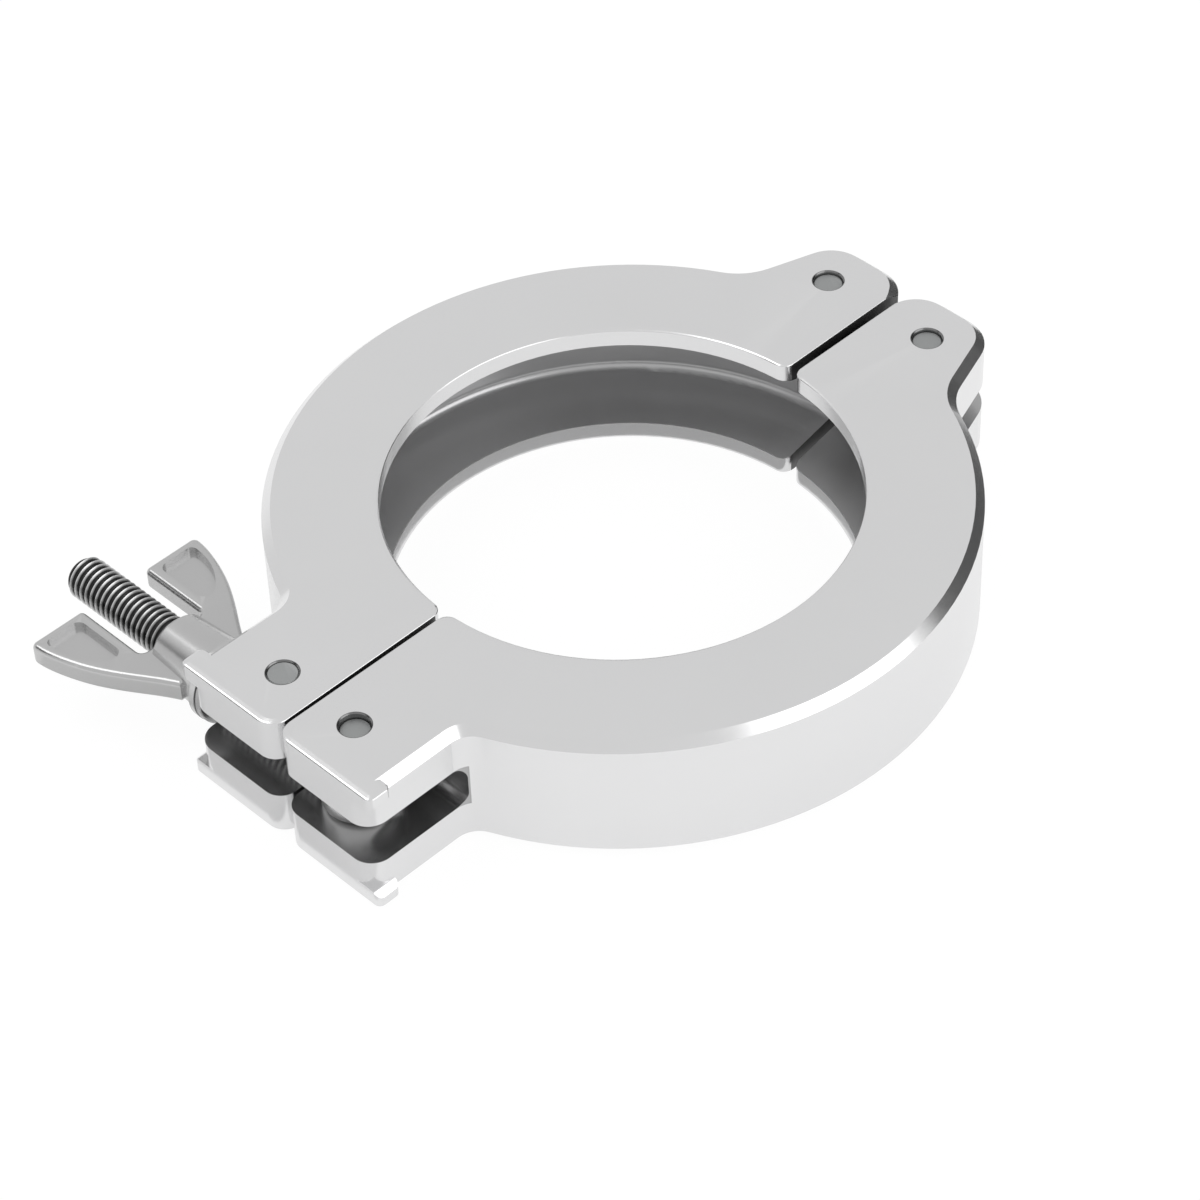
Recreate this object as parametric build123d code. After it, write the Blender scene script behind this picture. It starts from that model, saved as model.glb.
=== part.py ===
"""Hinged two-jaw flange clamp, DN 50 class, closed by a swing bolt and wing nut.

Frame: millimetres, +Z along the axis of the clamped flanges, z = 0 on the bottom
face. +X is the hinge end, -X the closing end, +Y the jaw that carries the nut.
"""
import math
import os

from build123d import *

os.makedirs("parts", exist_ok=True)

# ---- clamp ring -----------------------------------------------------------
HEIGHT = 19.0                 # ring height along the flange axis
MID_Z = HEIGHT / 2            # mid-plane, also the bolt and link plane
RING_R = 46.0                 # outside radius
BORE_R = 31.0                 # opening at the two lips
LIP = 2.6                     # lip thickness at the bore
GROOVE_ROOT_R = 40.5          # bottom of the wedge groove
GROOVE_FLANK = 13.0           # flank slope, degrees
GROOVE_FILLET = 1.3
EDGE_CHAMFER = 1.2            # on the outer outline, top and bottom
EDGE_BREAK = 0.25             # on bore and parting edges
GAP_CLOSING = 0.2             # half gap between the jaws at the closing end
GAP_HINGE = 0.75              # half gap between the jaws at the hinge end
BORE_CORNER_R = 1.7           # jaw corner where parting face meets bore

# ---- closing lugs ---------------------------------------------------------
LUG_END_X = -59.4
LUG_SIDE_Y = 16.2
LUG_ROOT_FILLET = 3.5
LUG_PART_R = 2.6
LUG_CORNER_R = 3.0
CORNER_LIP_X = -55.9          # where the small corner lip ends
CORNER_LIP_Y = 17.1
CORNER_LIP_H = 2.5
BOLT_SLOT = 6.4               # slot height for the swing bolt
BOLT_SLOT_X = -43.6           # closed end of the slot
BOLT_SLOT_R = 2.0

# ---- hinge ears -----------------------------------------------------------
EAR_END_X = 55.8
EAR_SLOPE_A = (45.5, 17.45)   # two points on the sloped outer side
EAR_SLOPE_B = (52.5, 15.10)
EAR_ROOT_FILLET = 7.5
EAR_CORNER_R = 6.0
EAR_PART_R = 5.8
LINK_SLOT = 4.0
LINK_SLOT_X = 43.5

# ---- pins and link --------------------------------------------------------
PIN_R = 2.0
PIN_BREAK = 0.15
CLOSE_PIN = (-52.0, 6.5)      # pin holes in the lugs, +-y
HINGE_PIN = (48.3, 8.85)      # pin holes in the ears, +-y
HINGE_PIN_RECESS = 0.5
BOLT_PIN_RECESS = 0.9
PLUG_RECESS = 0.15
RUN = 0.05                    # radial running clearance
LINK_T = 3.6
LINK_R = 4.2

# ---- swing bolt, washer and wing nut --------------------------------------
BOLT_R = 2.95
EYE_R = 5.0
EYE_T = 6.0
BOLT_END_Y = 46.5
WASHER_R = 5.5
WASHER_Y0, WASHER_Y1 = 16.95, 18.0
NUT_Y0 = 18.05
NUT_FLANGE_R = 5.6
NUT_FLANGE_T = 1.4
NUT_BOSS_R0, NUT_BOSS_R1 = 5.0, 4.5
NUT_BOSS_END_Y = 28.0
NUT_BORE_R = BOLT_R + RUN
WING_T = 3.2
WING_EDGE_R = 0.9
POCKET_DEPTH = 0.9


def slope_y(x: float) -> float:
    """Height of the sloped ear side at x."""
    (ax, ay), (bx, by) = EAR_SLOPE_A, EAR_SLOPE_B
    return ay + (by - ay) / (bx - ax) * (x - ax)


def gap_y(x: float) -> float:
    """Half gap between the parting faces at x."""
    t = (x - LUG_END_X) / (EAR_END_X - LUG_END_X)
    return GAP_CLOSING + t * (GAP_HINGE - GAP_CLOSING)


def near(shape, x: float, y: float, tol: float = 1.0):
    """Vertices of a sketch near (x, y)."""
    return [v for v in shape.vertices() if abs(v.X - x) < tol and abs(v.Y - y) < tol]


def arc_between(c, r: float, p, q) -> Edge:
    """Arc of centre c and radius r from p to q, on the shorter side."""
    mx, my = (p[0] + q[0]) / 2 - c[0], (p[1] + q[1]) / 2 - c[1]
    k = r / math.hypot(mx, my)
    return ThreePointArc(p, (c[0] + mx * k, c[1] + my * k), q)


def outer_envelope() -> Part:
    """Chamfered outer form of the +Y jaw, over-long at the lug and the parting side."""
    # fillet between the lug side and the ring
    rf = LUG_ROOT_FILLET
    cy = LUG_SIDE_Y + rf
    cl = (-math.sqrt((RING_R + rf) ** 2 - cy ** 2), cy)
    lug_a = (cl[0], LUG_SIDE_Y)
    lug_b = (cl[0] * RING_R / (RING_R + rf), cl[1] * RING_R / (RING_R + rf))
    # fillet between the ring and the sloped ear side
    (ax, ay), (bx, by) = EAR_SLOPE_A, EAR_SLOPE_B
    length = math.hypot(bx - ax, by - ay)
    dx, dy = (bx - ax) / length, (by - ay) / length
    nx, ny = -dy, dx
    rf = EAR_ROOT_FILLET
    px, py = ax + nx * rf, ay + ny * rf
    dot = px * dx + py * dy
    t = -dot - math.sqrt(dot ** 2 - (px * px + py * py - (RING_R + rf) ** 2))
    ce = min(((px + dx * u, py + dy * u) for u in
              (t, -dot + math.sqrt(dot ** 2 - (px * px + py * py - (RING_R + rf) ** 2)))),
             key=lambda c: abs(c[0] - 42))
    ear_b = (ce[0] - nx * rf, ce[1] - ny * rf)
    ear_a = (ce[0] * RING_R / (RING_R + rf), ce[1] * RING_R / (RING_R + rf))
    # rounded outer corner of the ear
    rc = EAR_CORNER_R
    qx, qy = ax - nx * rc, ay - ny * rc
    u = (EAR_END_X - rc - qx) / dx
    cc = (EAR_END_X - rc, qy + dy * u)
    cor_a = (cc[0] + nx * rc, cc[1] + ny * rc)
    cor_b = (EAR_END_X, cc[1])
    # rounded corner between the ear's end and its parting face
    low = GAP_HINGE + 0.15 - EDGE_CHAMFER
    cp = (EAR_END_X - EAR_PART_R, low + EAR_PART_R)
    part_a, part_b = (EAR_END_X, cp[1]), (cp[0], low)
    face = make_face([
        Line((-80, LUG_SIDE_Y), lug_a), arc_between(cl, LUG_ROOT_FILLET, lug_a, lug_b),
        ThreePointArc(lug_b, (0, RING_R), ear_a), arc_between(ce, EAR_ROOT_FILLET, ear_a, ear_b),
        Line(ear_b, cor_a), arc_between(cc, rc, cor_a, cor_b), Line(cor_b, part_a),
        arc_between(cp, EAR_PART_R, part_a, part_b), Line(part_b, (30, -4)),
        Line((30, -4), (-80, -10)), Line((-80, -10), (-80, LUG_SIDE_Y))])
    body = extrude(face, HEIGHT)
    if body.bounding_box().min.Z < -1:
        body = Pos(0, 0, HEIGHT) * body
    edges = [e for e in body.edges() if min(abs(e.center().Z), abs(e.center().Z - HEIGHT)) < 1e-6]
    return chamfer(edges, EDGE_CHAMFER)


def jaw_region() -> Part:
    """Prism that cuts one jaw (+Y) out of the outer envelope."""
    x0, x1 = LUG_END_X, EAR_END_X + 5
    face = Polygon((x0, gap_y(x0)), (x1, gap_y(x1)), (x1, 60), (x0, 60), align=None)
    face -= Circle(BORE_R)
    face = fillet(near(face, x0, gap_y(x0)), LUG_PART_R)
    bore = [v for v in face.vertices() if abs(math.hypot(v.X, v.Y) - BORE_R) < 0.05]
    face = fillet(bore, BORE_CORNER_R)
    return extrude(face, HEIGHT)


def groove() -> Part:
    """Wedge groove that draws the two flanges together."""
    drop = (GROOVE_ROOT_R - BORE_R) * math.tan(math.radians(GROOVE_FLANK))
    extra = 3.0 * math.tan(math.radians(GROOVE_FLANK))
    profile = Plane.XZ * Polygon((BORE_R - 3, LIP - extra), (GROOVE_ROOT_R, LIP + drop),
                                 (GROOVE_ROOT_R, HEIGHT - LIP - drop), (BORE_R - 3, HEIGHT - LIP + extra),
                                 align=None)
    root = [v for v in profile.vertices() if abs(v.X - GROOVE_ROOT_R) < 1e-3]
    return revolve(fillet(root, GROOVE_FILLET), Axis.Z)


def corner_cut() -> Part:
    """Rounds the outer corner of the lug between its two corner lips."""
    r = LUG_CORNER_R
    cut = Pos(LUG_END_X + r / 2 - 1, LUG_SIDE_Y - r / 2 + 1) * Rectangle(r + 2, r + 2)
    cut -= Pos(LUG_END_X + r, LUG_SIDE_Y - r) * Circle(r)
    cut -= Pos(LUG_END_X + r + 2, LUG_SIDE_Y - r / 2) * Rectangle(4, r + 4)
    cut -= Pos(LUG_END_X + r / 2, LUG_SIDE_Y - r - 2) * Rectangle(r + 4, 4)
    return Pos(0, 0, CORNER_LIP_H) * extrude(cut, HEIGHT - 2 * CORNER_LIP_H)


def corner_lip() -> Part:
    """Small sharp corner lip at the bottom face of the lug, sloped on its inner side."""
    x0, x1, y0, y1, h = LUG_END_X, CORNER_LIP_X, LUG_SIDE_Y - 2.6, CORNER_LIP_Y, CORNER_LIP_H
    side = Plane.YZ * Polygon((y0, 0), (y1, 0), (y1, h - 0.9), (LUG_SIDE_Y - 0.2, h), (y0, h), align=None)
    lip = Pos(x0, 0, 0) * extrude(side, x1 - x0)
    edge = [e for e in lip.edges().filter_by(Axis.Z) if abs(e.center().X - x0) < 1e-3 and abs(e.center().Y - y1) < 1e-3]
    lip = fillet(edge, 0.9)
    edge = [e for e in lip.edges().filter_by(Axis.Z) if abs(e.center().X - x1) < 1e-3 and abs(e.center().Y - y1) < 1e-3]
    return fillet(edge, 0.8)


def jaw() -> Part:
    """One jaw, built on the +Y side."""
    body = outer_envelope() & jaw_region()
    body -= groove()
    body -= corner_cut()
    lip = corner_lip()
    body += lip
    body += Pos(0, 0, HEIGHT) * mirror(lip, Plane.XY)

    slot = Pos((BOLT_SLOT_X - 70) / 2, 10, MID_Z) * Box(BOLT_SLOT_X + 70, 40, BOLT_SLOT)
    slot_end = [e for e in slot.edges().filter_by(Axis.Y) if e.center().X > BOLT_SLOT_X - 1]
    body -= fillet(slot_end, BOLT_SLOT_R)
    body -= Pos(LINK_SLOT_X + 10, 10, MID_Z) * Box(20, 40, LINK_SLOT)

    for (x, y) in (CLOSE_PIN, HINGE_PIN):
        body -= Pos(x, y, MID_Z) * Cylinder(PIN_R, HEIGHT + 2)
        body -= Pos(x, y, HEIGHT) * Cone(PIN_R - 0.85, PIN_R + PIN_BREAK, 1.0, align=(Align.CENTER, Align.CENTER, Align.MAX))
        body -= Pos(x, y, 0) * Cone(PIN_R + PIN_BREAK, PIN_R - 0.85, 1.0, align=(Align.CENTER, Align.CENTER, Align.MIN))
    return body


def break_edges(body: Part) -> Part:
    """Takes the sharpness off the bore and parting edges on both faces."""
    picks = {"bore": [], "parting": [], "end": []}
    for e in body.edges():
        mid = e.position_at(0.5)
        if min(abs(mid.Z), abs(mid.Z - HEIGHT)) > 1e-4:
            continue
        if abs(math.hypot(mid.X, mid.Y) - BORE_R) < 0.05:
            picks["bore"].append(mid)
        elif e.geom_type == GeomType.LINE and abs(mid.Y) < 1.0:
            picks["parting"].append(mid)
        elif e.geom_type == GeomType.LINE and abs(mid.X - LUG_END_X) < 0.05:
            picks["end"].append(mid)
    for name, mids in picks.items():
        for mid in mids:
            edge = [e for e in body.edges() if (e.position_at(0.5) - mid).length < 1.0
                    and min(abs(e.center().Z), abs(e.center().Z - HEIGHT)) < 1e-4
                    and abs(e.position_at(0.5).Z - mid.Z) < 1e-4]
            edge = sorted(edge, key=lambda e: (e.position_at(0.5) - mid).length)[:1]
            try:
                body = chamfer(edge, EDGE_BREAK)
            except Exception:
                print("edge break left out:", name)
    return body


def pin(x: float, y: float, z0: float, z1: float) -> Part:
    """Plain pin with broken end edges."""
    body = Pos(x, y, (z0 + z1) / 2) * Cylinder(PIN_R, z1 - z0)
    return chamfer(body.edges().filter_by(GeomType.CIRCLE), 0.15)


def link() -> Part:
    """Flat hinge link with two eyes."""
    x, y = HINGE_PIN
    face = Pos(x, y) * Circle(LINK_R) + Pos(x, -y) * Circle(LINK_R) + Pos(x, 0) * Rectangle(2 * LINK_R, 2 * y)
    face -= Pos(x, y) * Circle(PIN_R + RUN)
    face -= Pos(x, -y) * Circle(PIN_R + RUN)
    body = Pos(0, 0, MID_Z - LINK_T / 2) * extrude(face, LINK_T)
    return body


def along_bolt(profile_points) -> Part:
    """Revolves (radius, y) points about the bolt axis."""
    face = Polygon(*[(r, y) for r, y in profile_points], align=None)
    return Pos(CLOSE_PIN[0], 0, MID_Z) * revolve(face, Axis.Y)


def swing_bolt() -> Part:
    """Eye bolt that pivots in the front lug."""
    x, y = CLOSE_PIN[0], -CLOSE_PIN[1]
    eye = Pos(x, y, MID_Z) * Cylinder(EYE_R, EYE_T)
    eye = chamfer(eye.edges().filter_by(GeomType.CIRCLE), 0.4)
    shank = along_bolt([(0, y), (BOLT_R, y), (BOLT_R, BOLT_END_Y - 0.9), (BOLT_R - 0.9, BOLT_END_Y), (0, BOLT_END_Y)])
    body = eye + shank
    return body - Pos(x, y, MID_Z) * Cylinder(PIN_R + RUN, EYE_T + 2)


def washer() -> Part:
    """Plain washer under the nut."""
    body = Pos(CLOSE_PIN[0], (WASHER_Y0 + WASHER_Y1) / 2, MID_Z) * Rot(90, 0, 0) * Cylinder(WASHER_R, WASHER_Y1 - WASHER_Y0)
    body = fillet(body.edges().filter_by(GeomType.CIRCLE), 0.25)
    return body - Pos(CLOSE_PIN[0], 17, MID_Z) * Rot(90, 0, 0) * Cylinder(BOLT_R + RUN, 6)


def round_rim(body: Part, z: float, radius: float) -> Part:
    """Rounds the rims at height z and -z, easing the radius if it does not fit."""
    for k in (1.0, 0.8, 0.6, 0.4):
        rim = [e for e in body.edges() if abs(abs(e.center().Z) - z) < 1e-6]
        try:
            return fillet(rim, radius * k)
        except ValueError:
            continue
    return body


def wing() -> Part:
    """One wing on the +X side of the nut, with its two pockets."""
    start, tip = (13.65, 39.0), (12.7, 40.0)
    curve = Spline(start, (13.05, 35.6), (11.3, 30.8), (8.1, 25.2), (5.4, 20.6),
                   tangents=((-0.05, -1.0), (-0.45, -0.9)))
    face = make_face([
        Line((3.0, 20.6), (3.0, 28.4)), Line((3.0, 28.4), (4.2, 28.4)),
        ThreePointArc((4.2, 28.4), (4.85, 28.7), (5.1, 29.4)), Line((5.1, 29.4), (5.1, 39.2)),
        ThreePointArc((5.1, 39.2), (5.33, 39.77), (5.9, 40.0)), Line((5.9, 40.0), tip),
        ThreePointArc(tip, (13.4, 39.7), start), curve, Line((5.4, 20.6), (3.0, 20.6))])
    body = Pos(0, 0, -WING_T / 2) * extrude(face, WING_T)
    if body.bounding_box().min.Z < -WING_T:
        body = Pos(0, 0, WING_T) * body
    body = round_rim(body, WING_T / 2, WING_EDGE_R)
    pocket = make_face([
        Line((6.6, 37.6), (6.6, 31.4)), ThreePointArc((6.6, 31.4), (6.95, 30.55), (7.8, 30.2)),
        Line((7.8, 30.2), (8.6, 30.2)), ThreePointArc((8.6, 30.2), (11.1, 33.3), (12.2, 37.9)),
        ThreePointArc((12.2, 37.9), (11.95, 38.55), (11.3, 38.8)), Line((11.3, 38.8), (7.8, 38.8)),
        ThreePointArc((7.8, 38.8), (6.95, 38.45), (6.6, 37.6))])
    top = extrude(pocket, POCKET_DEPTH + 1)
    top = Pos(0, 0, WING_T / 2 - POCKET_DEPTH - top.bounding_box().min.Z) * top
    body -= top
    body -= mirror(top, Plane.XY)
    return body


def wing_nut() -> Part:
    """Wing nut with a round flange."""
    f = NUT_FLANGE_R
    hub = along_bolt([(0, NUT_Y0), (f, NUT_Y0), (f, NUT_Y0 + 0.9), (f - 0.5, NUT_Y0 + NUT_FLANGE_T - 0.3),
                      (NUT_BOSS_R0, NUT_Y0 + NUT_FLANGE_T + 0.3), (NUT_BOSS_R1, NUT_BOSS_END_Y - 0.7),
                      (NUT_BOSS_R1 - 0.7, NUT_BOSS_END_Y), (0, NUT_BOSS_END_Y)])
    w = wing()
    body = hub + Pos(CLOSE_PIN[0], 0, MID_Z) * w + Pos(CLOSE_PIN[0], 0, MID_Z) * mirror(w, Plane.YZ)
    return body - Pos(CLOSE_PIN[0], 30, MID_Z) * Rot(90, 0, 0) * Cylinder(NUT_BORE_R, 40)


def save(shape, name: str, color) -> None:
    """Labels a shape and writes its STEP file."""
    solids = shape.solids()
    shape = solids[0] if len(solids) == 1 else shape
    shape.label = name
    shape.color = Color(*color)
    export_step(shape, os.path.join("parts", name + ".step"))
    print(name, "solids", len(solids), "volume", round(shape.volume, 2), shape.bounding_box())


def main() -> None:
    """Builds every part in its closed, assembled place."""
    aluminium = (0.82, 0.82, 0.83)
    steel = (0.55, 0.55, 0.56)
    rear = break_edges(jaw())
    save(rear, "rear_jaw", aluminium)
    save(mirror(rear, Plane.XZ), "front_jaw", aluminium)
    save(link(), "hinge_link", aluminium)
    hx, hy = HINGE_PIN
    cx, cy = CLOSE_PIN
    save(pin(hx, hy, HINGE_PIN_RECESS, HEIGHT - HINGE_PIN_RECESS), "rear_hinge_pin", steel)
    save(pin(hx, -hy, HINGE_PIN_RECESS, HEIGHT - HINGE_PIN_RECESS), "front_hinge_pin", steel)
    save(pin(cx, -cy, BOLT_PIN_RECESS, HEIGHT - BOLT_PIN_RECESS), "bolt_pin", steel)
    save(pin(cx, cy, MID_Z + BOLT_SLOT / 2 + 0.2, HEIGHT - PLUG_RECESS), "upper_plug_pin", steel)
    save(pin(cx, cy, PLUG_RECESS, MID_Z - BOLT_SLOT / 2 - 0.2), "lower_plug_pin", steel)
    save(swing_bolt(), "swing_bolt", steel)
    save(washer(), "nut_washer", steel)
    save(wing_nut(), "wing_nut", aluminium)


if __name__ == "__main__":
    main()
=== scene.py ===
"""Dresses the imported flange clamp: metal finishes, a threaded swing bolt and soft light."""

import logging
import math
from dataclasses import dataclass
from enum import Enum

import bmesh
import bpy
from mathutils import Matrix, Vector

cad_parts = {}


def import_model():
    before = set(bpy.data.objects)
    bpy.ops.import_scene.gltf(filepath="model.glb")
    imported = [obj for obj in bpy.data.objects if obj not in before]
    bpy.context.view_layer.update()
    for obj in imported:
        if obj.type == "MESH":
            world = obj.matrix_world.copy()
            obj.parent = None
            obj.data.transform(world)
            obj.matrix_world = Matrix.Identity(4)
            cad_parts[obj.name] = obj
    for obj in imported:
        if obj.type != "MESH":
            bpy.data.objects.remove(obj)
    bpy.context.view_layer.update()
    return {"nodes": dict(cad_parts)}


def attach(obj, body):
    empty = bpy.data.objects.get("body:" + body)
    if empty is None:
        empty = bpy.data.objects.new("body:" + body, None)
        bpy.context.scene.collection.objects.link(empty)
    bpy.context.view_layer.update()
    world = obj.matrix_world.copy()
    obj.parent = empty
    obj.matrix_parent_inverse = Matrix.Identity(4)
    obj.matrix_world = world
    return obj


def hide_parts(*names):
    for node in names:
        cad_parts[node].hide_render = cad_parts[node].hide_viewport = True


LOG = logging.getLogger("flange_clamp")
MM = 0.001


class Grain(Enum):
    """How a metal surface was finished."""

    SATIN = "satin"
    MACHINED = "machined"
    CAST = "cast"
    DARK = "dark"


@dataclass(frozen=True)
class MetalFinish:
    """One metal finish and the numbers of its surface.

    Args:
        name: material name.
        grain: kind of surface.
        color: base colour, linear.
        metallic: share of metal reflection.
        roughness: mean roughness.
        spread: how far the roughness wanders.
        mottle: strength of the faint tone change.
        bump: height of the fine relief, in metres.
        scale: size of the fine relief, cycles per metre.
    """

    name: str
    grain: Grain
    color: tuple[float, float, float]
    metallic: float
    roughness: float
    spread: float
    mottle: float
    bump: float
    scale: float


@dataclass(frozen=True)
class RecessBounds:
    """Where the machined recesses lie, in metres; the painted shade and the roughness of the
    recesses follow them.

    Args:
        mid_z: middle of the height.
        bore_r: radius just outside the opening.
        root_r: radius just outside the groove's root.
        groove_half: half width of the groove.
        slot_x: where the bolt slot begins.
        slot_half: half height of the bolt slot.
        link_x: where the link slot begins.
        link_half: half height of the link slot.
        hinge_pin: x and y of a hinge pin.
        lug_pin: x and y of a lug pin.
        pin_rim_r: radius of the painted shade round a pin hole.
        gap_slope: growth of the half gap between the jaws along x.
        gap_mid: half gap between the jaws at the centre.
    """

    mid_z: float = 0.0095
    bore_r: float = 0.03103
    root_r: float = 0.0409
    groove_half: float = 0.00688
    slot_x: float = -0.0434
    slot_half: float = 0.00325
    link_x: float = 0.0434
    link_half: float = 0.00205
    hinge_pin: tuple[float, float] = (0.0483, 0.00885)
    lug_pin: tuple[float, float] = (-0.052, 0.0065)
    pin_rim_r: float = 0.00222
    gap_slope: float = 0.0047743
    gap_mid: float = 0.00051359


RECESS = RecessBounds()

JAW_SATIN = MetalFinish(
    "jaw_satin_aluminium", Grain.SATIN, (0.8, 0.8, 0.805),
    metallic=0.92, roughness=0.2, spread=0.05, mottle=0.03, bump=6.0e-6, scale=900.0)
LINK_SATIN = MetalFinish(
    "link_aluminium", Grain.SATIN, (0.62, 0.62, 0.625),
    metallic=0.85, roughness=0.3, spread=0.08, mottle=0.06, bump=1.2e-5, scale=900.0)
PIN_STEEL = MetalFinish(
    "pin_steel", Grain.MACHINED, (0.33, 0.34, 0.34),
    metallic=0.75, roughness=0.42, spread=0.1, mottle=0.1, bump=1.5e-5, scale=1500.0)
BOLT_STEEL = MetalFinish(
    "bolt_dark_steel", Grain.DARK, (0.25, 0.25, 0.25),
    metallic=0.9, roughness=0.3, spread=0.1, mottle=0.15, bump=1.0e-5, scale=1800.0)
WASHER_STEEL = MetalFinish(
    "washer_steel", Grain.MACHINED, (0.45, 0.45, 0.45),
    metallic=0.9, roughness=0.3, spread=0.08, mottle=0.08, bump=1.0e-5, scale=1500.0)
NUT_CAST = MetalFinish(
    "nut_cast_metal", Grain.CAST, (0.56, 0.56, 0.56),
    metallic=0.85, roughness=0.22, spread=0.04, mottle=0.05, bump=3.0e-6, scale=700.0)

BROAD_GRAIN_SCALE = 55.0          # slow wander of the tone, cycles per metre
POLISH_AND_HIGHLIGHT_RANGE = (0.52, 0.62)       # edge sharpness where the polish and painted highlight begin and are full
POLISH_AND_HIGHLIGHT_TONE = (0.95, 0.95, 0.95, 1.0)
POLISH_AND_HIGHLIGHT_AMOUNT = 0.15
BUMP_STRENGTH = 0.25
LONG_GRAIN = 3.0                  # how far machined grain is drawn out along Z
THREAD_CENTRE = (0.052, 0.0, -0.0095)
THREAD_LIGHT_RADII = (0.00262, 0.00291)  # radius of full painted root shade and of full painted crest highlight, in metres
SMOOTH_BELOW = math.radians(50)   # edges under this angle are shaded smooth


class MetalShop:
    """Builds the shared node groups once and the metals from them."""

    def __init__(self) -> None:
        """Makes the shared groups."""
        self.grain_group = self._grain_group()
        self.edge_wear_and_highlight_group = self._edge_wear_and_highlight_group()
        self.recess_shade_group = self._recess_shade_group()
        self.thread_light_group = self._thread_light_group()
        self.made: dict[str, bpy.types.Material] = {}

    @staticmethod
    def _socket(group: bpy.types.NodeTree, name: str, in_out: str, kind: str,
                value: float | None = None) -> None:
        """Adds one socket to a group.

        Args:
            group: the node group.
            name: socket name.
            in_out: INPUT or OUTPUT.
            kind: socket type.
            value: default of a float input.
        """
        item = group.interface.new_socket(name=name, in_out=in_out, socket_type=kind)
        if value is not None:
            item.default_value = value

    def _grain_group(self) -> bpy.types.NodeTree:
        """Fine surface grain: tone, roughness and height that wander over the metal.

        Returns:
            The node group.
        """
        group = bpy.data.node_groups.new("fine_metal_grain", "ShaderNodeTree")
        self._socket(group, "Color", "INPUT", "NodeSocketColor")
        for name, value in (("Scale", 900.0), ("Mottle", 0.05), ("Roughness", 0.3),
                            ("Spread", 0.05), ("Stretch", 1.0)):
            self._socket(group, name, "INPUT", "NodeSocketFloat", value)
        self._socket(group, "Color", "OUTPUT", "NodeSocketColor")
        self._socket(group, "Roughness", "OUTPUT", "NodeSocketFloat")
        self._socket(group, "Height", "OUTPUT", "NodeSocketFloat")
        n, link = group.nodes, group.links.new
        gin, gout = n.new("NodeGroupInput"), n.new("NodeGroupOutput")
        coord = n.new("ShaderNodeTexCoord")
        stretch = n.new("ShaderNodeCombineXYZ")
        stretch.inputs["X"].default_value = 1.0
        stretch.inputs["Y"].default_value = 1.0
        link(gin.outputs["Stretch"], stretch.inputs["Z"])
        scaled = n.new("ShaderNodeVectorMath")
        scaled.operation = "MULTIPLY"
        link(coord.outputs["Object"], scaled.inputs[0])
        link(stretch.outputs["Vector"], scaled.inputs[1])
        broad = n.new("ShaderNodeTexNoise")
        broad.inputs["Scale"].default_value = BROAD_GRAIN_SCALE
        broad.inputs["Detail"].default_value = 3.0
        link(scaled.outputs["Vector"], broad.inputs["Vector"])
        fine = n.new("ShaderNodeTexNoise")
        fine.inputs["Detail"].default_value = 2.0
        link(gin.outputs["Scale"], fine.inputs["Scale"])
        link(scaled.outputs["Vector"], fine.inputs["Vector"])
        # the tone wanders about its mean
        centred = n.new("ShaderNodeMath")
        centred.operation = "SUBTRACT"
        centred.inputs[1].default_value = 0.5
        link(broad.outputs["Fac"], centred.inputs[0])
        swing = n.new("ShaderNodeMath")
        swing.operation = "MULTIPLY"
        link(centred.outputs["Value"], swing.inputs[0])
        link(gin.outputs["Mottle"], swing.inputs[1])
        gain = n.new("ShaderNodeMath")
        gain.operation = "ADD"
        gain.inputs[1].default_value = 1.0
        link(swing.outputs["Value"], gain.inputs[0])
        tone = n.new("ShaderNodeVectorMath")
        tone.operation = "SCALE"
        link(gin.outputs["Color"], tone.inputs[0])
        link(gain.outputs["Value"], tone.inputs["Scale"])
        link(tone.outputs["Vector"], gout.inputs["Color"])
        # the roughness wanders about its mean
        off = n.new("ShaderNodeMath")
        off.operation = "SUBTRACT"
        off.inputs[1].default_value = 0.5
        link(fine.outputs["Fac"], off.inputs[0])
        rough = n.new("ShaderNodeMath")
        rough.operation = "MULTIPLY_ADD"
        link(off.outputs["Value"], rough.inputs[0])
        link(gin.outputs["Spread"], rough.inputs[1])
        link(gin.outputs["Roughness"], rough.inputs[2])
        link(rough.outputs["Value"], gout.inputs["Roughness"])
        link(fine.outputs["Fac"], gout.inputs["Height"])
        return group

    def _edge_wear_and_highlight_group(self) -> bpy.types.NodeTree:
        """Brightens sharp edges: partly polish from handling, partly a painted highlight where
        light catches them.

        Returns:
            The node group.
        """
        group = bpy.data.node_groups.new("edge_polish_and_highlight", "ShaderNodeTree")
        self._socket(group, "Color", "INPUT", "NodeSocketColor")
        self._socket(group, "Polish And Highlight", "INPUT", "NodeSocketFloat", 0.2)
        self._socket(group, "Color", "OUTPUT", "NodeSocketColor")
        n, link = group.nodes, group.links.new
        gin, gout = n.new("NodeGroupInput"), n.new("NodeGroupOutput")
        # polish and painted highlight: sharp edges are mixed towards a pale tone
        geometry = n.new("ShaderNodeNewGeometry")
        edge = n.new("ShaderNodeMapRange")
        edge.inputs["From Min"].default_value = POLISH_AND_HIGHLIGHT_RANGE[0]
        edge.inputs["From Max"].default_value = POLISH_AND_HIGHLIGHT_RANGE[1]
        link(geometry.outputs["Pointiness"], edge.inputs["Value"])
        amount = n.new("ShaderNodeMath")
        amount.operation = "MULTIPLY"
        link(edge.outputs["Result"], amount.inputs[0])
        link(gin.outputs["Polish And Highlight"], amount.inputs[1])
        mix = n.new("ShaderNodeMix")
        mix.data_type = "RGBA"
        mix.inputs["B"].default_value = POLISH_AND_HIGHLIGHT_TONE
        link(amount.outputs["Value"], mix.inputs["Factor"])
        link(gin.outputs["Color"], mix.inputs["A"])
        link(mix.outputs["Result"], gout.inputs["Color"])
        return group

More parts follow.
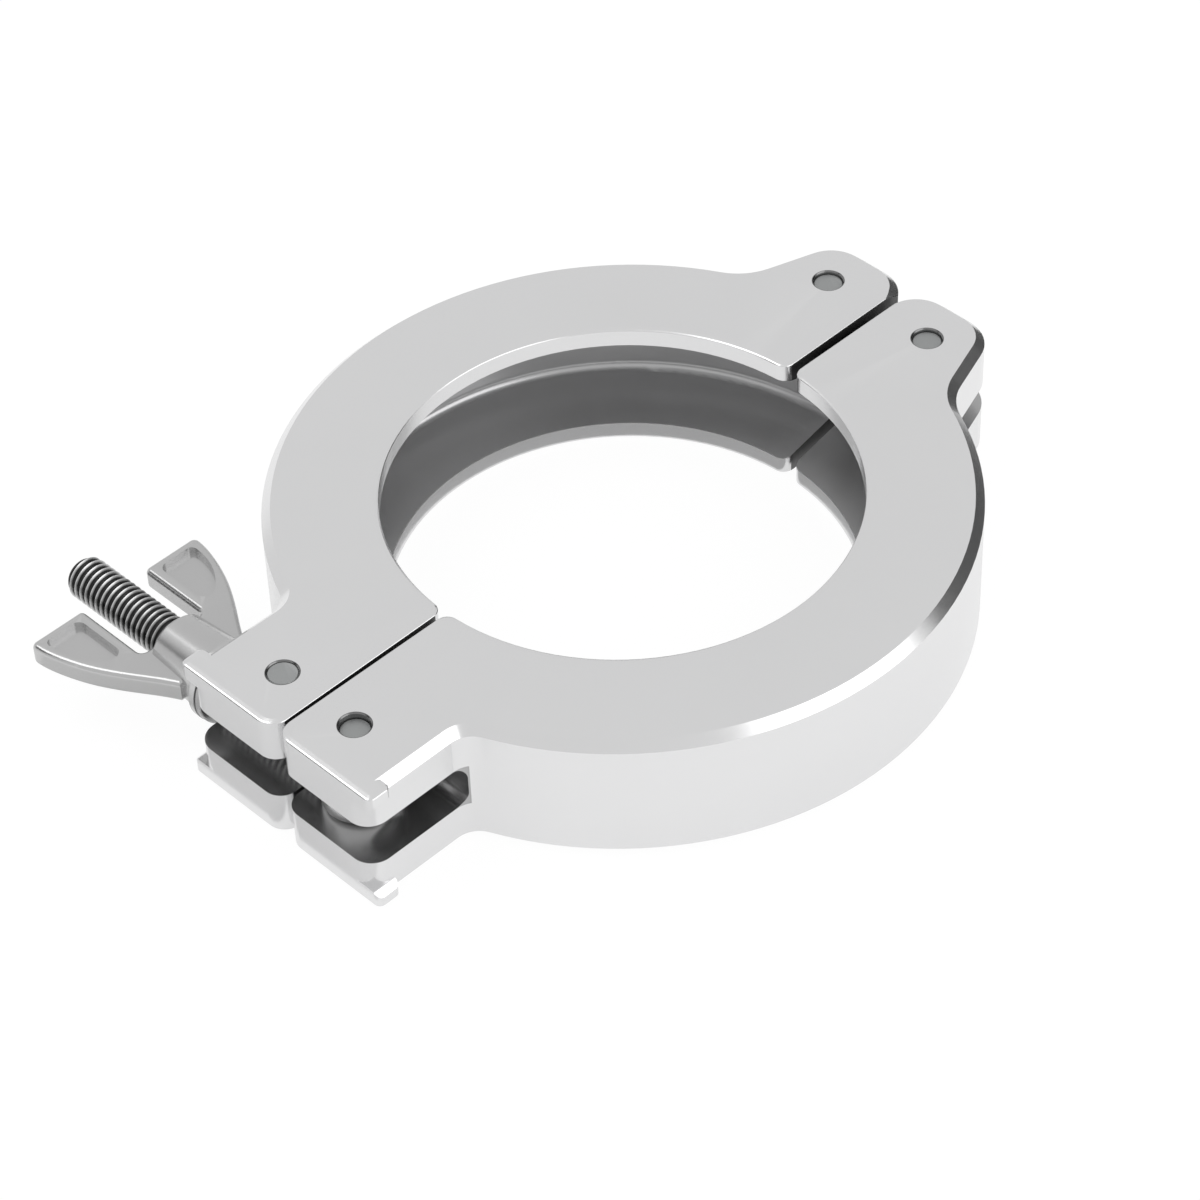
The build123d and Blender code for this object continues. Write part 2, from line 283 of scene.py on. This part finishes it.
    def _thread_light_group(self) -> bpy.types.NodeTree:
        """Painted highlight on the crests and painted shade in the roots of the bolt's thread.

        Returns:
            The node group.
        """
        group = bpy.data.node_groups.new("thread_painted_light", "ShaderNodeTree")
        self._socket(group, "Color", "INPUT", "NodeSocketColor")
        self._socket(group, "Crest Highlight", "INPUT", "NodeSocketFloat", 3.0)
        self._socket(group, "Root Shade", "INPUT", "NodeSocketFloat", 0.12)
        self._socket(group, "Color", "OUTPUT", "NodeSocketColor")
        n, link = group.nodes, group.links.new
        gin, gout = n.new("NodeGroupInput"), n.new("NodeGroupOutput")
        coord = n.new("ShaderNodeTexCoord")
        centre = n.new("ShaderNodeMapping")
        centre.inputs["Location"].default_value = THREAD_CENTRE
        flat = n.new("ShaderNodeVectorMath")
        flat.operation = "MULTIPLY"
        flat.inputs[1].default_value = (1.0, 0.0, 1.0)
        radius = n.new("ShaderNodeVectorMath")
        radius.operation = "LENGTH"
        link(coord.outputs["Object"], centre.inputs["Vector"])
        link(centre.outputs["Vector"], flat.inputs[0])
        link(flat.outputs["Vector"], radius.inputs[0])
        # painted light: the colour falls to a painted shade in the thread's roots and rises to a
        # painted highlight on its crests
        root_to_crest_light = n.new("ShaderNodeMapRange")
        root_to_crest_light.inputs["From Min"].default_value = THREAD_LIGHT_RADII[0]
        root_to_crest_light.inputs["From Max"].default_value = THREAD_LIGHT_RADII[1]
        link(radius.outputs["Value"], root_to_crest_light.inputs["Value"])
        link(gin.outputs["Root Shade"], root_to_crest_light.inputs["To Min"])
        link(gin.outputs["Crest Highlight"], root_to_crest_light.inputs["To Max"])
        tone = n.new("ShaderNodeVectorMath")
        tone.operation = "SCALE"
        link(gin.outputs["Color"], tone.inputs[0])
        link(root_to_crest_light.outputs["Result"], tone.inputs["Scale"])
        link(tone.outputs["Vector"], gout.inputs["Color"])
        return group

    def _recess_shade_group(self) -> bpy.types.NodeTree:
        """Darkens the groove, slots, parting faces and the rims round the pin holes with painted
        shade, and gives the groove, slots and parting faces their own roughness.

        Returns:
            The node group.
        """
        group = bpy.data.node_groups.new("recess_painted_shade", "ShaderNodeTree")
        self._socket(group, "Color", "INPUT", "NodeSocketColor")
        self._socket(group, "Groove Painted Shade", "INPUT", "NodeSocketFloat", 0.67)
        self._socket(group, "Slot Painted Shade", "INPUT", "NodeSocketFloat", 0.5)
        self._socket(group, "Parting Painted Shade", "INPUT", "NodeSocketFloat", 0.06)
        self._socket(group, "Pin Hole Painted Shade", "INPUT", "NodeSocketFloat", 0.2)
        self._socket(group, "Roughness", "INPUT", "NodeSocketFloat", 0.2)
        self._socket(group, "Groove Roughness", "INPUT", "NodeSocketFloat", 0.28)
        self._socket(group, "Slot Roughness", "INPUT", "NodeSocketFloat", 0.24)
        self._socket(group, "Parting Roughness", "INPUT", "NodeSocketFloat", 0.45)
        self._socket(group, "Color", "OUTPUT", "NodeSocketColor")
        self._socket(group, "Roughness", "OUTPUT", "NodeSocketFloat")
        n, link = group.nodes, group.links.new
        gin, gout = n.new("NodeGroupInput"), n.new("NodeGroupOutput")
        coord, split = n.new("ShaderNodeTexCoord"), n.new("ShaderNodeSeparateXYZ")
        link(coord.outputs["Object"], split.inputs["Vector"])

        def math_node(kind: str, first: object, second: object) -> bpy.types.NodeSocket:
            """Adds one Math node whose inputs are sockets or numbers.

            Args:
                kind: operation.
                first: first input.
                second: second input, or None where there is one input.

            Returns:
                The result.
            """
            node = n.new("ShaderNodeMath")
            node.operation = kind
            for socket, value in zip(node.inputs, (first, second)):
                if isinstance(value, (int, float)):
                    socket.default_value = value
                elif value is not None:
                    link(value, socket)
            return node.outputs["Value"]

        x, y, z = (split.outputs[axis] for axis in "XYZ")
        square_sum = math_node("ADD", math_node("MULTIPLY", x, x), math_node("MULTIPLY", y, y))
        radius = math_node("SQRT", square_sum, None)
        depth = math_node("ABSOLUTE", math_node("SUBTRACT", z, RECESS.mid_z), None)
        inside = math_node("MULTIPLY", math_node("GREATER_THAN", radius, RECESS.bore_r),
                           math_node("LESS_THAN", radius, RECESS.root_r))
        groove = math_node("MULTIPLY", inside, math_node("LESS_THAN", depth, RECESS.groove_half))
        bolt_slot = math_node("MULTIPLY", math_node("LESS_THAN", x, RECESS.slot_x),
                              math_node("LESS_THAN", depth, RECESS.slot_half))
        link_slot = math_node("MULTIPLY", math_node("GREATER_THAN", x, RECESS.link_x),
                              math_node("LESS_THAN", depth, RECESS.link_half))
        slots = math_node("MAXIMUM", bolt_slot, link_slot)
        half_gap = math_node("ADD", math_node("MULTIPLY", x, RECESS.gap_slope), RECESS.gap_mid)
        parting = math_node("LESS_THAN", math_node("ABSOLUTE", y, None), half_gap)
        side = math_node("ABSOLUTE", y, None)
        rims = []
        for pin_x, pin_y in (RECESS.hinge_pin, RECESS.lug_pin):
            off_x = math_node("SUBTRACT", x, pin_x)
            off_y = math_node("SUBTRACT", side, pin_y)
            square = math_node("ADD", math_node("MULTIPLY", off_x, off_x),
                               math_node("MULTIPLY", off_y, off_y))
            rims.append(math_node("LESS_THAN", math_node("SQRT", square, None), RECESS.pin_rim_r))
        rim = math_node("MAXIMUM", rims[0], rims[1])
        # painted shade: the groove, the slots, the gap between the jaws and the rims round the pin
        # holes are darkened where shade falls
        color = gin.outputs["Color"]
        for mask, tone in ((groove, gin.outputs["Groove Painted Shade"]),
                           (slots, gin.outputs["Slot Painted Shade"]),
                           (parting, gin.outputs["Parting Painted Shade"]),
                           (rim, gin.outputs["Pin Hole Painted Shade"])):
            dark = n.new("ShaderNodeVectorMath")
            dark.operation = "SCALE"
            link(color, dark.inputs[0])
            link(tone, dark.inputs["Scale"])
            mix = n.new("ShaderNodeMix")
            mix.data_type = "RGBA"
            link(mask, mix.inputs["Factor"])
            link(color, mix.inputs["A"])
            link(dark.outputs["Vector"], mix.inputs["B"])
            color = mix.outputs["Result"]
        link(color, gout.inputs["Color"])
        rough = gin.outputs["Roughness"]
        for mask, name in ((groove, "Groove Roughness"), (slots, "Slot Roughness"),
                           (parting, "Parting Roughness")):
            cut = n.new("ShaderNodeMix")
            cut.data_type = "FLOAT"
            link(mask, cut.inputs["Factor"])
            link(rough, cut.inputs["A"])
            link(gin.outputs[name], cut.inputs["B"])
            rough = cut.outputs["Result"]
        link(rough, gout.inputs["Roughness"])
        return group

    def metal(self, finish: MetalFinish) -> bpy.types.Material:
        """Makes, or finds, the material of a finish.

        Args:
            finish: the finish.

        Returns:
            The material.
        """
        if finish.name in self.made:
            return self.made[finish.name]
        material = bpy.data.materials.new(finish.name)
        material.use_nodes = True
        tree = material.node_tree
        shader = tree.nodes["Principled BSDF"]
        shader.inputs["Metallic"].default_value = finish.metallic
        grain = tree.nodes.new("ShaderNodeGroup")
        grain.node_tree = self.grain_group
        grain.inputs["Color"].default_value = (*finish.color, 1.0)
        grain.inputs["Scale"].default_value = finish.scale
        grain.inputs["Mottle"].default_value = finish.mottle
        grain.inputs["Roughness"].default_value = finish.roughness
        grain.inputs["Spread"].default_value = finish.spread
        even = finish.grain in (Grain.SATIN, Grain.CAST)
        grain.inputs["Stretch"].default_value = 1.0 if even else LONG_GRAIN
        # edge polish and painted highlight on sharp edges
        wear_and_highlight = tree.nodes.new("ShaderNodeGroup")
        wear_and_highlight.node_tree = self.edge_wear_and_highlight_group
        wear_and_highlight.inputs["Polish And Highlight"].default_value = POLISH_AND_HIGHLIGHT_AMOUNT
        bump = tree.nodes.new("ShaderNodeBump")
        bump.inputs["Strength"].default_value = BUMP_STRENGTH
        bump.inputs["Distance"].default_value = finish.bump
        link = tree.links.new
        tone, rough = grain.outputs["Color"], grain.outputs["Roughness"]
        if finish.grain is Grain.SATIN:
            # painted shade in the recesses of the satin parts; their roughness changes too
            recess_shade = tree.nodes.new("ShaderNodeGroup")
            recess_shade.node_tree = self.recess_shade_group
            link(tone, recess_shade.inputs["Color"])
            link(rough, recess_shade.inputs["Roughness"])
            tone, rough = recess_shade.outputs["Color"], recess_shade.outputs["Roughness"]
        if finish.grain is Grain.DARK:
            # painted highlight on the thread crests and painted shade in its roots
            thread = tree.nodes.new("ShaderNodeGroup")
            thread.node_tree = self.thread_light_group
            link(tone, thread.inputs["Color"])
            tone = thread.outputs["Color"]
        link(tone, wear_and_highlight.inputs["Color"])
        link(wear_and_highlight.outputs["Color"], shader.inputs["Base Color"])
        link(rough, shader.inputs["Roughness"])
        link(grain.outputs["Height"], bump.inputs["Height"])
        link(bump.outputs["Normal"], shader.inputs["Normal"])
        material.diffuse_color = (*finish.color, 1.0)
        self.made[finish.name] = material
        return material


def dress(node: bpy.types.Object, material: bpy.types.Material) -> None:
    """Gives a node one material on all its slots.

    Args:
        node: the node.
        material: the material.
    """
    if not node.material_slots:
        node.data.materials.append(material)
    for held in node.material_slots:
        held.material = material


@dataclass
class Jaws:
    """The two half rings with their link and pins."""

    nodes: dict[str, bpy.types.Object]
    shop: MetalShop

    def build(self) -> None:
        """Dresses the jaws, link and pins."""
        for name in ("rear_jaw", "front_jaw"):
            dress(self.nodes[name], self.shop.metal(JAW_SATIN))
        dress(self.nodes["hinge_link"], self.shop.metal(LINK_SATIN))
        for name in ("rear_hinge_pin", "front_hinge_pin", "bolt_pin", "upper_plug_pin",
                     "lower_plug_pin"):
            dress(self.nodes[name], self.shop.metal(PIN_STEEL))
        LOG.info("jaws, link and pins dressed")


@dataclass
class SwingBolt:
    """Eye bolt with a rolled thread. Sizes in millimetres."""

    shop: MetalShop
    axis_x: float = -52.0
    mid_z: float = 9.5
    pivot_y: float = -6.5
    eye_r: float = 5.0
    eye_t: float = 6.0
    eye_break: float = 0.5
    bore_r: float = 2.05
    crest_r: float = 2.95
    root_r: float = 2.38
    pitch: float = 1.0
    neck_y: float = -3.2
    thread_y: float = -1.6
    end_y: float = 46.5
    tip_break: float = 0.9
    tip_slope: float = 0.75
    neck_overlap: float = 0.4
    around: int = 48
    eye_around: int = 64
    thread_weld: float = 4e-6

    def _chain(self, bm: bmesh.types.BMesh, points: list[tuple[float, float]]) -> list:
        """Joins (radius, y) points by edges beside the bolt axis.

        Args:
            bm: the mesh to add to.
            points: radius and y of each point.

        Returns:
            The new vertices and edges.
        """
        verts = [bm.verts.new(((self.axis_x + r) * MM, y * MM, self.mid_z * MM)) for r, y in points]
        return verts + [bm.edges.new(pair) for pair in zip(verts, verts[1:])]

    def thread(self) -> bmesh.types.BMesh:
        """Winds one tooth round the axis, then trims both ends.

        Returns:
            The closed threaded rod.
        """
        bm = bmesh.new()
        start = self.thread_y - self.pitch
        turns = int((self.end_y - start) / self.pitch) + 2
        low, mid, high = self.root_r + 0.04, self.root_r + 0.2, self.crest_r - 0.06
        tooth = [(self.root_r, 0.0), (low, 0.14), (mid, 0.28), (high, 0.44), (self.crest_r, 0.5),
                 (high, 0.56), (mid, 0.72), (low, 0.86), (self.root_r, 1.0)]
        geom = self._chain(bm, [(r, start + y * self.pitch) for r, y in tooth])
        bmesh.ops.spin(bm, geom=geom, cent=(self.axis_x * MM, 0, self.mid_z * MM), axis=(0, 1, 0),
                       dvec=(0, self.pitch * MM / self.around, 0), angle=math.tau,
                       steps=self.around, use_duplicate=False)
        first = bm.verts[:] + bm.edges[:] + bm.faces[:]
        for turn in range(-1, turns):
            if turn == 0:
                continue
            copy = bmesh.ops.duplicate(bm, geom=first)["geom"]
            bmesh.ops.translate(bm, vec=(0, turn * self.pitch * MM, 0),
                                verts=[v for v in copy if isinstance(v, bmesh.types.BMVert)])
        bmesh.ops.remove_doubles(bm, verts=bm.verts, dist=self.thread_weld)
        for y, side in ((self.thread_y, -1), (self.end_y, 1)):
            cut = bmesh.ops.bisect_plane(
                bm, geom=bm.verts[:] + bm.edges[:] + bm.faces[:], dist=1e-7,
                plane_co=(0, y * MM, 0), plane_no=(0, side, 0), clear_outer=True)
            rim = [e for e in cut["geom_cut"] if isinstance(e, bmesh.types.BMEdge)]
            bmesh.ops.holes_fill(bm, edges=rim, sides=0)
        for vert in bm.verts:
            over = vert.co.y / MM - (self.end_y - self.tip_break)
            if over > 0:
                out = Vector((vert.co.x - self.axis_x * MM, 0, vert.co.z - self.mid_z * MM))
                limit = (self.crest_r - over * self.tip_slope) * MM
                if out.length > limit:
                    out *= limit / out.length
                    vert.co.x, vert.co.z = self.axis_x * MM + out.x, self.mid_z * MM + out.z
        bmesh.ops.recalc_face_normals(bm, faces=bm.faces)
        return bm

    def eye(self, bm: bmesh.types.BMesh) -> None:
        """Adds the eye and the plain neck.

        Args:
            bm: the mesh to add to.
        """
        before = set(bm.faces)
        half, cut = self.eye_t / 2, self.eye_break
        ring = [(self.bore_r, -half), (self.eye_r - cut, -half), (self.eye_r, -half + cut),
                (self.eye_r, half - cut), (self.eye_r - cut, half), (self.bore_r, half)]
        verts = [bm.verts.new(((self.axis_x + r) * MM, self.pivot_y * MM, (self.mid_z + z) * MM))
                 for r, z in ring]
        edges = [bm.edges.new((verts[i], verts[(i + 1) % len(verts)])) for i in range(len(verts))]
        bmesh.ops.spin(bm, geom=verts + edges, cent=(self.axis_x * MM, self.pivot_y * MM, 0),
                       axis=(0, 0, 1), angle=math.tau, steps=self.eye_around,
                       use_merge=True, use_duplicate=False)
        neck_end = self.thread_y + self.neck_overlap
        neck = self._chain(bm, [(0.0, self.neck_y), (self.root_r, self.neck_y),
                                (self.root_r, neck_end), (0.0, neck_end)])
        bmesh.ops.spin(bm, geom=neck, cent=(self.axis_x * MM, 0, self.mid_z * MM), axis=(0, 1, 0),
                       angle=math.tau, steps=self.around, use_merge=True, use_duplicate=False)
        new = [f for f in bm.faces if f not in before]
        bmesh.ops.remove_doubles(bm, verts=list({v for f in new for v in f.verts}), dist=1e-6)
        bmesh.ops.recalc_face_normals(bm, faces=[f for f in bm.faces if f not in before])

    def build(self) -> bpy.types.Object:
        """Builds the bolt and lets it ride.

        Returns:
            The threaded bolt.
        """
        bm = self.thread()
        self.eye(bm)
        for face in bm.faces:
            face.smooth = True
        mesh = bpy.data.meshes.new("swing_bolt_threaded")
        bm.to_mesh(mesh)
        bm.free()
        mesh.set_sharp_from_angle(angle=SMOOTH_BELOW)
        obj = bpy.data.objects.new("swing_bolt_threaded", mesh)
        bpy.context.scene.collection.objects.link(obj)
        dress(obj, self.shop.metal(BOLT_STEEL))
        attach(obj, "bolt")
        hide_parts("swing_bolt")
        LOG.info("swing bolt: %d faces", len(mesh.polygons))
        return obj


@dataclass(frozen=True)
class Lamp:
    """Square area lamp that faces the clamp.

    Args:
        name: lamp name.
        at: place in metres.
        size: side in metres.
        power: watts.
    """

    name: str
    at: tuple[float, float, float]
    size: float
    power: float


@dataclass(frozen=True)
class Card:
    """Flat card that only reflections see.

    Args:
        name: card name.
        at: centre in metres.
        width: width in metres.
        height: height in metres.
        facing: direction the card faces.
        tone: grey of the card.
    """

    name: str
    at: tuple[float, float, float]
    width: float
    height: float
    facing: tuple[float, float, float]
    tone: float = 0.01


KEY_LAMP = Lamp("key_lamp", (-0.25, 0.35, 0.8), 0.5, 1.2)
EDGE_LAMP = Lamp("edge_lamp", (0.22, -0.59, 0.46), 0.6, 1.24)
HINGE_SIDE_CARD = Card("hinge_side_card", (0.55, -0.07, 0.14), 0.75, 0.32, (-1.0, 0.0, 0.0))
LUG_SIDE_CARD = Card("lug_side_card", (-0.52, 0.40, 0.40), 0.30, 0.30, (0.69, -0.525, -0.5))
LUG_FLOOR_CARD = Card("lug_floor_card", (-0.0750, 0.0, 0.0001), 0.029, 0.090, (0.0, 0.0, 1.0), 0.88)
LOW_CARD = Card("low_card", (0.32, 0.02, 0.0004), 0.44, 0.6, (0.0, 0.0, 1.0))
CAMERA_AXES = ((0.70675, 0.50454, -0.49595),
               (-0.70687, 0.47451, -0.52458),
               (-0.02934, 0.72132, 0.69199))


@dataclass
class Studio:
    """Floor, lamps, cards, world and camera. Lengths in metres."""

    target: tuple[float, float, float] = (0.0, 0.0, 0.0095)
    lens_mm: float = 117.08
    sensor_mm: float = 36.0
    camera_at: tuple[float, float, float] = (-0.25530, -0.26510, 0.35202)
    floor_size: float = 3.0
    floor_z: float = -0.0002
    floor_grey: float = 0.9
    floor_glow: float = 1.03
    camera_share: float = 0.92
    reflected_share: float = 0.72
    bore_card_radii: tuple[float, float] = (0.0262, 0.0306)
    bore_card_z: float = 0.0001
    bore_card_tone: float = 0.75
    world_strength: float = 0.75

    def _stand(self, name: str, bm: bmesh.types.BMesh) -> bpy.types.Object:
        """Turns a mesh under construction into an object of the scene.

        Args:
            name: name of the object and its mesh.
            bm: the mesh, which is freed.

        Returns:
            The object.
        """
        mesh = bpy.data.meshes.new(name)
        bm.to_mesh(mesh)
        bm.free()
        obj = bpy.data.objects.new(name, mesh)
        bpy.context.scene.collection.objects.link(obj)
        return obj

    def _hide_card(self, obj: bpy.types.Object, tone: float) -> None:
        """Paints a card and leaves it to reflections alone.

        Args:
            obj: the card.
            tone: grey of the card.
        """
        material = bpy.data.materials.new(obj.name)
        material.use_nodes = True
        shader = material.node_tree.nodes["Principled BSDF"]
        shader.inputs["Base Color"].default_value = (tone, tone, tone, 1.0)
        shader.inputs["Roughness"].default_value = 1.0
        obj.data.materials.append(material)
        obj.visible_camera = False
        obj.visible_diffuse = False
        obj.visible_shadow = False

    def floor(self) -> None:
        """Pale floor, a little brighter to the camera than to reflections."""
        bm = bmesh.new()
        bmesh.ops.create_grid(bm, x_segments=1, y_segments=1, size=self.floor_size)
        obj = self._stand("studio_floor", bm)
        obj.location.z = self.floor_z
        material = bpy.data.materials.new("pale_floor")
        material.use_nodes = True
        tree = material.node_tree
        shader = tree.nodes["Principled BSDF"]
        shader.inputs["Base Color"].default_value = (*[self.floor_grey] * 3, 1.0)
        shader.inputs["Roughness"].default_value = 0.9
        shader.inputs["Specular IOR Level"].default_value = 0.0
        out = tree.nodes["Material Output"]
        glow = tree.nodes.new("ShaderNodeEmission")
        glow.inputs["Color"].default_value = (1.0, 1.0, 1.0, 1.0)
        glow.inputs["Strength"].default_value = self.floor_glow
        mix = tree.nodes.new("ShaderNodeMixShader")
        path = tree.nodes.new("ShaderNodeLightPath")
        seen = tree.nodes.new("ShaderNodeMath")
        seen.operation = "MULTIPLY"
        seen.inputs[1].default_value = self.camera_share
        share = tree.nodes.new("ShaderNodeMath")
        share.operation = "MULTIPLY_ADD"
        share.inputs[1].default_value = self.reflected_share
        tree.links.new(path.outputs["Is Camera Ray"], seen.inputs[0])
        tree.links.new(path.outputs["Is Glossy Ray"], share.inputs[0])
        tree.links.new(seen.outputs["Value"], share.inputs[2])
        tree.links.new(share.outputs["Value"], mix.inputs["Fac"])
        tree.links.new(shader.outputs["BSDF"], mix.inputs[1])
        tree.links.new(glow.outputs["Emission"], mix.inputs[2])
        tree.links.new(mix.outputs["Shader"], out.inputs["Surface"])
        obj.data.materials.append(material)

    def lamp(self, lamp: Lamp) -> None:
        """Adds a lamp.

        Args:
            lamp: the lamp.
        """
        data = bpy.data.lights.new(lamp.name, "AREA")
        data.size = lamp.size
        data.energy = lamp.power
        obj = bpy.data.objects.new(lamp.name, data)
        bpy.context.scene.collection.objects.link(obj)
        obj.location = lamp.at
        aim = Vector(self.target) - Vector(lamp.at)
        obj.rotation_euler = aim.to_track_quat("-Z", "Y").to_euler()

    def card(self, card: Card) -> None:
        """Adds a flat card.

        Args:
            card: the card.
        """
        bm = bmesh.new()
        bmesh.ops.create_grid(bm, x_segments=1, y_segments=1, size=0.5)
        aim = Vector(card.facing).to_track_quat("Z", "Y").to_matrix().to_4x4()
        bmesh.ops.scale(bm, vec=(card.width, card.height, 1.0), verts=bm.verts)
        bmesh.ops.transform(bm, matrix=Matrix.Translation(card.at) @ aim, verts=bm.verts)
        self._hide_card(self._stand(card.name, bm), card.tone)

    def bore_card(self) -> None:
        """Adds the grey ring under the opening."""
        bm = bmesh.new()
        verts = [bm.verts.new((x, 0.0, self.bore_card_z)) for x in self.bore_card_radii]
        edge = bm.edges.new(verts)
        bmesh.ops.spin(bm, geom=verts + [edge], cent=(0, 0, 0), axis=(0, 0, 1), angle=math.tau,
                       steps=96, use_merge=True, use_duplicate=False)
        self._hide_card(self._stand("bore_card", bm), self.bore_card_tone)

    def world(self) -> None:
        """Even pale world."""
        world = bpy.data.worlds.new("studio_world")
        bpy.context.scene.world = world
        world.use_nodes = True
        back = world.node_tree.nodes["Background"]
        back.inputs["Color"].default_value = (1.0, 1.0, 1.0, 1.0)
        back.inputs["Strength"].default_value = self.world_strength

    def camera(self) -> None:
        """Long-lens camera, looking down from the left front."""
        data = bpy.data.cameras.new("studio_camera")
        data.lens = self.lens_mm
        data.sensor_width = self.sensor_mm
        obj = bpy.data.objects.new("studio_camera", data)
        bpy.context.scene.collection.objects.link(obj)
        obj.matrix_world = Matrix.Translation(self.camera_at) @ Matrix(CAMERA_AXES).to_4x4()
        bpy.context.scene.camera = obj

    def build(self) -> None:
        """Sets the whole studio up."""
        bpy.context.scene.view_settings.view_transform = "Standard"
        self.floor()
        self.world()
        self.lamp(KEY_LAMP)
        self.lamp(EDGE_LAMP)
        self.card(HINGE_SIDE_CARD)
        self.card(LUG_SIDE_CARD)
        self.card(LUG_FLOOR_CARD)
        self.bore_card()
        self.card(LOW_CARD)
        self.camera()
        LOG.info("studio ready")


def main() -> None:
    """Builds and dresses everything in order."""
    logging.basicConfig(level=logging.INFO, format="%(name)s: %(message)s")
    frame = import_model()
    nodes = frame["nodes"]
    shop = MetalShop()
    Jaws(nodes, shop).build()
    SwingBolt(shop).build()
    dress(nodes["nut_washer"], shop.metal(WASHER_STEEL))
    dress(nodes["wing_nut"], shop.metal(NUT_CAST))
    Studio().build()


if __name__ == "__main__":
    main()
